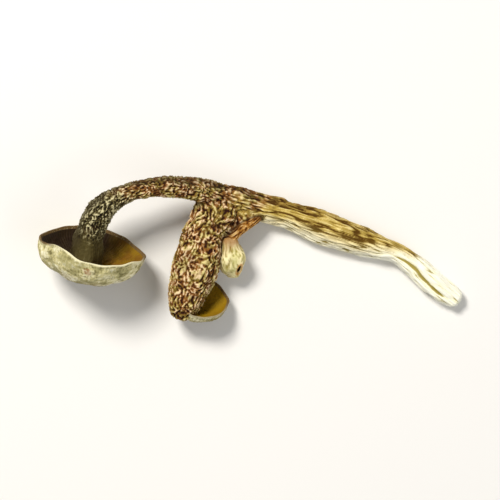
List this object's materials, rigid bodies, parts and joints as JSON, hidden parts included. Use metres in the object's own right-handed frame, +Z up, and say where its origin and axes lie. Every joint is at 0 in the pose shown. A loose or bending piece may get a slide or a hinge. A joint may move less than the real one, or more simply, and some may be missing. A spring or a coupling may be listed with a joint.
{
  "type": "dried deer antler mushroom",
  "caption": "Dried deer antler mushroom: a long stem arches from a pale foot to a large cap, with a short forked stem, a smaller cap and a bud, grown as one piece.",
  "frame": {"origin": "on the surface the mushroom lies on, under the middle of its bounding box", "axes": "+X from the large cap towards the foot, +Z up from the surface"},
  "size_m": [0.072, 0.025, 0.0179],
  "materials": {
    "dried_skin": "matt, dry and finely wrinkled"
  },
  "bodies": {
    "root": {"mushroom": "dried_skin"}
  },
  "joints": []
}
